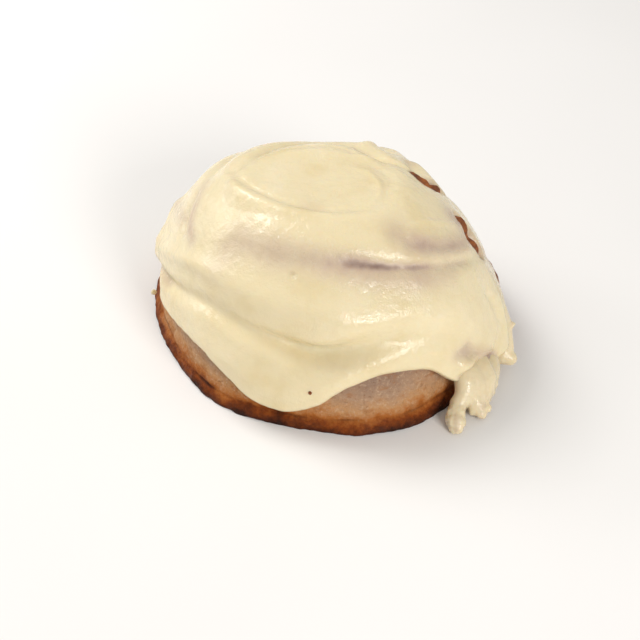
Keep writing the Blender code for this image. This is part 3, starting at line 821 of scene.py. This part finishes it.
def dough_material():
    """Crust: dark brown at the base, tan with pores and dots above, orange-brown where it is bare, and darker
    again near the icing's edge, partly damp crust and partly painted shade under its lip.
    """
    nodes = Nodes("dough")
    height = nodes.add("ShaderNodeSeparateXYZ", Vector=nodes.place()).outputs["Z"]
    wander = nodes.math("MULTIPLY", nodes.math("SUBTRACT", nodes.noise(75.0, 6.0, 0.7), 0.5), 0.016)
    level = nodes.math("MULTIPLY", nodes.math("ADD", height, wander), 1 / CRUST_HEIGHT, clamp=True)
    # Its top stops hold painted shade under the icing's lip as well as the damp crust's colour.
    crust = nodes.ramp(level, CRUST_AND_LIP_SHADE_COLOURS, smooth=False)
    above = nodes.ramp(level, ((0.18, 0.0), (0.32, 1.0)))
    pale_dots = nodes.ramp(nodes.noise(900.0, 5.0, 0.7), ((0.50, 0.0), (0.72, 0.6)))
    dark_dots = nodes.ramp(nodes.noise(620.0, 5.0, 0.7, (1, 1, 1.4)), ((0.54, 0.0), (0.72, 0.7)))
    crust = nodes.mix(nodes.math("MULTIPLY", pale_dots, above), crust, PALE_DOT)
    crust = nodes.mix(nodes.math("MULTIPLY", dark_dots, above), crust, DARK_DOT)
    blotch = nodes.noise(150.0, 4.0, 0.62, (1, 1, 2.2))
    toasted = nodes.math("MULTIPLY", nodes.ramp(blotch, ((0.50, 0.0), (0.70, 0.6))), above)
    crust = nodes.mix(toasted, crust, TOASTED)
    low_part = nodes.ramp(level, ((0.05, 1.0), (0.26, 0.0)))
    scorched = nodes.math("MULTIPLY", nodes.ramp(blotch, ((0.45, 0.0), (0.68, 1.0))), low_part)
    crust = nodes.mix(nodes.math("MULTIPLY", scorched, 0.75), crust, SCORCHED)
    ledge = nodes.ramp(nodes.attribute("ledge"), ((0.25, 0.0), (0.75, 0.85)))
    crust = nodes.mix(ledge, crust, LEDGE_BROWN)
    baked = nodes.attribute("baked")
    baked_crust = nodes.ramp(blotch, ((0.35, BAKED_DARK), (0.65, BAKED_PALE)))
    crust = nodes.mix(nodes.math("MULTIPLY", baked, 0.9), crust, baked_crust)
    filled = nodes.attribute("filling")
    colour = nodes.mix(nodes.ramp(filled, ((0.35, 0.0), (0.75, 1.0))), crust, SEAM_BROWN)
    pores = nodes.add("ShaderNodeTexVoronoi", Vector=nodes.place(), Scale=1100.0, Randomness=1.0)
    pore_mask = nodes.ramp(pores.outputs["Distance"], ((0.08, 0.0), (0.3, 1.0)))
    bump = nodes.bump(nodes.noise(330.0, 5.0, 0.65, (1, 1, 1.6)), 0.7, 0.0014)
    bump = nodes.bump(nodes.noise(1400.0, 4.0, 0.6), 0.4, 0.0003, bump)
    bump = nodes.bump(pore_mask, 0.3, 0.0003, bump)
    rough = nodes.ramp(nodes.noise(200.0, 3.0), ((0.3, 0.5), (0.7, 0.74)))
    material = nodes.set(
        Base_Color=colour, Roughness=rough, Normal=bump, Specular_IOR_Level=0.18,
        Subsurface_Weight=0.08, Subsurface_Scale=0.0015,
    )
    nodes.shader.inputs["Subsurface Radius"].default_value = (1.0, 0.5, 0.25)
    return material


def filling_material():
    """Dark, grainy cinnamon sugar."""
    nodes = Nodes("cinnamon_filling")
    grains = nodes.noise(900.0, 4.0, 0.7)
    colour = nodes.ramp(grains, tuple(zip((0.3, 0.55, 0.75), CINNAMON)))
    bump = nodes.bump(grains, 0.6, 0.0005)
    return nodes.set(Base_Color=colour, Roughness=0.45, Normal=bump)


def floor_material():
    """A plain pale floor, a little uneven in tone."""
    nodes = Nodes("pale_floor")
    tone = nodes.ramp(nodes.noise(6.0, 2.0), ((0.3, (0.83, 0.815, 0.80)), (0.7, (0.85, 0.835, 0.82))))
    return nodes.set(Base_Color=tone, Roughness=0.9)


# Crumbs of dried icing stuck to the crust: place and size.
CRUMBS = ((-60.4, -1.5, 9.0, 1.0), (-60.9, -0.6, 8.2, 0.7))
FIRST_CRUMB_SEED = 41


# A speck of crust on the icing: picture place and size.
SPECK_PLACE = (310, 393)
SPECK_SIZE = 0.62
SPECK_SEED = 51


def build_crumb(name, place, size, seed):
    """One small uneven crumb."""
    made = bmesh.new()
    bmesh.ops.create_icosphere(made, subdivisions=4, radius=1.0)
    points = np.array([vertex.co for vertex in made.verts])
    rough = Noise(seed)
    stretch = 1 + 0.28 * rough(points, 0.9) + 0.1 * rough(points, 0.35)
    for vertex, point, part in zip(made.verts, points, stretch):
        vertex.co = Vector(point * part * size * MM) + Vector(place) * MM
    mesh = bpy.data.meshes.new(name)
    made.to_mesh(mesh)
    made.free()
    mesh.shade_smooth()
    piece = bpy.data.objects.new(name, mesh)
    bpy.context.scene.collection.objects.link(piece)
    store(piece, "thin", np.full(len(points), 0.1))
    return piece


def seen_on(piece, place):
    """The point of a finished piece under a picture place."""
    corners = [vertex.co for vertex in piece.data.vertices]
    tree = BVHTree.FromPolygons(corners, [list(face.vertices) for face in piece.data.polygons])
    return tree.ray_cast(CAMERA_PLACE * MM, sight_through(place))[0] / MM


def finish_piece(piece, material, node):
    """Gives a piece its material, hangs it under the root body and hides the CAD part it stands in for."""
    piece.data.materials.clear()
    piece.data.materials.append(material)
    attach(piece, "root")
    if node:
        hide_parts(node)


def smooth_dough_tree(columns=240, rows=120):
    """The plain form of the dough, to measure the icing's thickness from."""
    azimuth = np.arange(columns) * TAU / columns
    fall = np.linspace(0, 1, rows + 1)[1:]
    points = dough_form(azimuth[None, :], fall[:, None]).reshape(-1, 3) * MM
    faces = grid_faces(rows, columns).tolist()
    top = len(points)
    points = np.vstack([points, dough_form(np.array([0.0]), np.array([0.0])) * MM])
    faces += pole_cap(columns, 0, top, True).tolist()
    return BVHTree.FromPolygons([Vector(point) for point in points], faces)


# The studio: how far the floor reaches in metres, the even light, and the tint of the lamps.
FLOOR_REACH = 4.0
ROOM_TINT = (1.0, 0.99, 0.975, 1.0)
ROOM_STRENGTH = 0.44
LAMP_TINT = (1.0, 0.985, 0.96)
LAMP_AIM = Vector((0, 0, 0.03))
# Each lamp: azimuth, elevation, distance in metres, side of its square in metres, power in watts.
LAMPS = {
    "key": (146.0, 50.0, 1.0, 0.40, 5.6),
    "left_box": (158.0, 22.0, 0.8, 0.30, 1.3),
    "front_box": (-58.0, 29.0, 1.0, 0.34, 5.4),
}


def build_floor():
    """A plain square of floor round the bun."""
    corners = [(x * FLOOR_REACH, y * FLOOR_REACH, 0) for x, y in ((-1, -1), (1, -1), (1, 1), (-1, 1))]
    mesh = bpy.data.meshes.new("floor")
    mesh.from_pydata(corners, [], [(0, 1, 2, 3)])
    floor = bpy.data.objects.new("floor", mesh)
    floor.data.materials.append(floor_material())
    bpy.context.scene.collection.objects.link(floor)


def build_lamp(name, azimuth, elevation, distance, side, power):
    """One soft square lamp that faces the bun."""
    data = bpy.data.lights.new(name, "AREA")
    data.shape = "SQUARE"
    data.size = side
    data.energy = power
    data.color = LAMP_TINT
    lamp = bpy.data.objects.new(name, data)
    level = math.cos(math.radians(elevation)) * distance
    lamp.location = (
        level * math.cos(math.radians(azimuth)),
        level * math.sin(math.radians(azimuth)),
        math.sin(math.radians(elevation)) * distance,
    )
    lamp.rotation_euler = (LAMP_AIM - lamp.location).to_track_quat("-Z", "Y").to_euler()
    bpy.context.scene.collection.objects.link(lamp)


def build_camera():
    """The camera where the photograph was taken from."""
    data = bpy.data.cameras.new("camera")
    data.sensor_width = SENSOR_WIDTH
    data.lens = FOCAL_PIXELS / PICTURE_SIZE * SENSOR_WIDTH
    camera = bpy.data.objects.new("camera", data)
    turn = Matrix((CAMERA_RIGHT, CAMERA_UP, CAMERA_BACK)).transposed().to_4x4()
    camera.matrix_world = Matrix.Translation(CAMERA_PLACE * MM) @ turn
    bpy.context.scene.collection.objects.link(camera)
    bpy.context.scene.camera = camera


def build_stage():
    """The floor, the lights and the camera."""
    build_floor()
    world = bpy.data.worlds.new("studio")
    world.use_nodes = True
    background = world.node_tree.nodes["Background"]
    background.inputs["Color"].default_value = ROOM_TINT
    background.inputs["Strength"].default_value = ROOM_STRENGTH
    bpy.context.scene.world = world
    for name, settings in LAMPS.items():
        build_lamp(name, *settings)
    build_camera()
    bpy.context.scene.view_settings.view_transform = "Standard"


def main():
    """Builds the stage and every piece."""
    build_stage()
    icing_look, dough_look = icing_material(), dough_material()
    finish_piece(build_dough(), dough_look, "dough")
    tree = smooth_dough_tree()
    coat = build_icing(tree)
    finish_piece(coat, icing_look, "icing")
    speck = build_crumb("crust_speck", seen_on(coat, SPECK_PLACE), SPECK_SIZE, SPECK_SEED)
    store(speck, "baked", np.ones(len(speck.data.vertices)))
    finish_piece(speck, dough_look, None)
    finish_piece(build_runs(), icing_look, "icing")
    for k, (x, y, z, size) in enumerate(CRUMBS):
        crumb = build_crumb(f"icing_crumb_{k}", (x, y, z), size, FIRST_CRUMB_SEED + k)
        finish_piece(crumb, icing_look, None)
    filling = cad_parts["cinnamon_filling"]
    filling.data.materials.clear()
    filling.data.materials.append(filling_material())


main()
